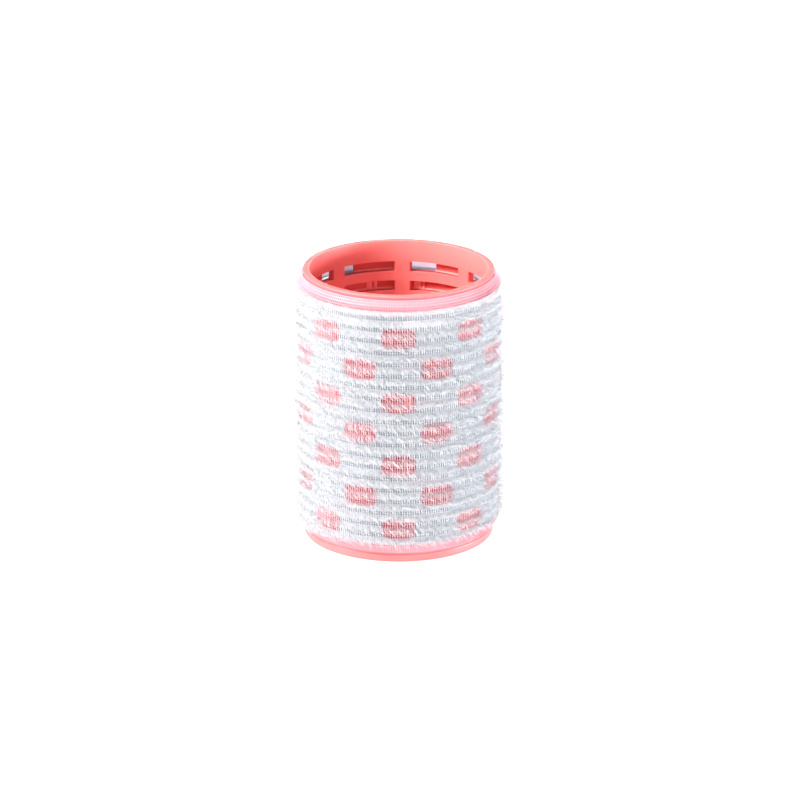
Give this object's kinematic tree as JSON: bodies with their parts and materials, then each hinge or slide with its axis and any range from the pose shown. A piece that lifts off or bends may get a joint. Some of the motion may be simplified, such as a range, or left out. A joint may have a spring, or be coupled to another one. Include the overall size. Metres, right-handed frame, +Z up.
{
  "type": "hair roller",
  "caption": "Large self-grip hair roller: an open slotted plastic core with a lip and a base ring, wrapped in a hook net over a sleeve with oval windows.",
  "frame": {"origin": "centre of the base ring's lower edge, on the roller's axis", "axes": "+Z up along the axis of the open bore; -Y towards one of the oval window columns that reach highest; +X to the right seen from that side"},
  "size_m": [0.0496, 0.0496, 0.063],
  "materials": {
    "core_plastic": "satin",
    "outer_core_plastic": "matte",
    "sleeve_film": "matte",
    "net_fabric": "woven monofilament net",
    "hook_filament": "nylon hook pile"
  },
  "bodies": {
    "root": {"inner_core_tube": "core_plastic", "outer_core_tube": "outer_core_plastic", "backing_sleeve": "sleeve_film", "hook_net": "net_fabric", "hook_row_01": "hook_filament", "hook_row_02": "hook_filament", "hook_row_03": "hook_filament", "hook_row_04": "hook_filament", "hook_row_05": "hook_filament", "hook_row_06": "hook_filament", "hook_row_07": "hook_filament", "hook_row_08": "hook_filament", "hook_row_09": "hook_filament", "hook_row_10": "hook_filament", "hook_row_11": "hook_filament", "hook_row_12": "hook_filament", "hook_row_13": "hook_filament", "hook_row_14": "hook_filament", "hook_row_15": "hook_filament", "hook_row_16": "hook_filament", "hook_row_17": "hook_filament", "hook_row_18": "hook_filament", "hook_row_19": "hook_filament", "hook_row_20": "hook_filament", "hook_row_21": "hook_filament"}
  },
  "joints": []
}
